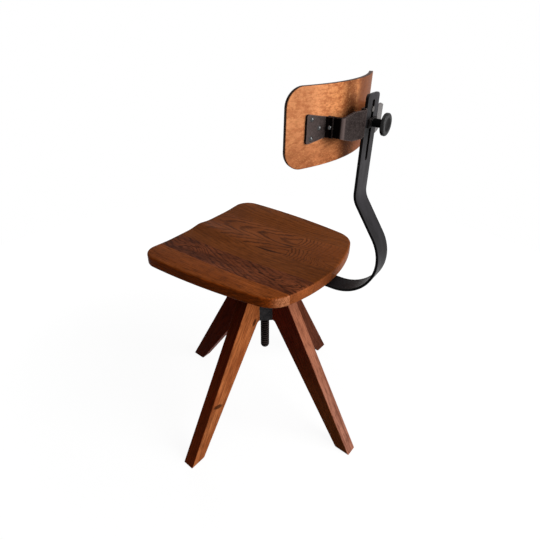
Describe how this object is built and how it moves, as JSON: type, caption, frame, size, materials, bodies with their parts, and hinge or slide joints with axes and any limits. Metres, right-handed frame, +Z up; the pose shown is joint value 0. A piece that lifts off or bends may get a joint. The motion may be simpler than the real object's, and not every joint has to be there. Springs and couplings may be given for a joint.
{
  "type": "draughtsman chair",
  "caption": "Swivelling work chair with a saddled wooden seat on a screw spindle, splayed timber legs, and a curved backrest that slides on a sprung flat-bar post.",
  "frame": {"origin": "on the floor, on the spindle's axis", "axes": "+Z up along the spindle, the sitter faces -Y, the sitter's left is +X"},
  "size_m": [0.6444, 0.6444, 0.9647],
  "materials": {
    "leg_wood": "varnished, straight grain along the leg",
    "seat_wood": "stained and varnished, edge-glued boards",
    "plywood": "varnished bent plywood",
    "hub_iron": "dark, smooth casting",
    "plate_steel": "black, satin",
    "spindle_steel": "dark oiled steel, coarse thread",
    "fixing_steel": "plain machined steel",
    "spring_steel": "blued spring steel, worn",
    "bracket_steel": "dark lacquered steel, slightly uneven",
    "bracket_fixings": "domed heads, worn",
    "knob_steel": "black, satin, turned"
  },
  "bodies": {
    "base": {"hub": "hub_iron", "leg_left": "leg_wood", "leg_rear": "leg_wood", "leg_right": "leg_wood", "leg_front": "leg_wood", "leg_bolts": "fixing_steel", "leg_bolt_washers": "fixing_steel", "hub_cap": "plate_steel", "hub_cap_screws": "fixing_steel"},
    "lift": {"spindle_collar": "spindle_steel"},
    "seat": {"spindle": "spindle_steel", "seat_plate": "plate_steel", "seat_plate_screws": "fixing_steel", "seat_stave_1": "seat_wood", "seat_stave_2": "seat_wood", "seat_stave_3": "seat_wood", "seat_stave_4": "seat_wood", "seat_stave_5": "seat_wood", "back_spring": "spring_steel", "back_spring_screws": "fixing_steel", "back_spring_washers": "fixing_steel"},
    "backrest": {"backrest_panel": "plywood", "backrest_bracket": "bracket_steel", "bracket_wing_left": "bracket_steel", "bracket_wing_right": "bracket_steel", "bracket_screws": "bracket_fixings", "bracket_rivets": "bracket_fixings", "clamp_bolt": "fixing_steel", "guide_pin": "fixing_steel"},
    "clamp": {"clamp_washer": "bracket_steel"},
    "knob": {"clamp_knob": "knob_steel"}
  },
  "joints": [
    {"name": "seat_lift", "type": "slide", "parent": "base", "child": "lift", "axis": [0, 0, 1], "range_m": [-0.0481, 0.1201]},
    {"name": "seat_turn", "type": "hinge", "parent": "lift", "child": "seat", "pos_m": [0, 0, 0.517], "axis": [0, 0, 1], "range_deg": [-2160, 5400]},
    {"name": "backrest_height", "type": "slide", "parent": "seat", "child": "backrest", "axis": [0, 0.0175, 0.9998], "range_m": [-0.065, 0.0125]},
    {"name": "clamp_release", "type": "slide", "parent": "backrest", "child": "clamp", "axis": [0, 0.9998, -0.0175], "range_m": [0, 0.0031]},
    {"name": "knob_turn", "type": "hinge", "parent": "clamp", "child": "knob", "pos_m": [0, 0.2445, 0.893], "axis": [0, 0.9998, -0.0175], "range_deg": [0, 720]}
  ],
  "couplings": [
    {"joint": "seat_lift", "follows": "seat_turn", "m_per_rad": 0.0012732},
    {"joint": "clamp_release", "follows": "knob_turn", "m_per_rad": 0.00023873}
  ]
}
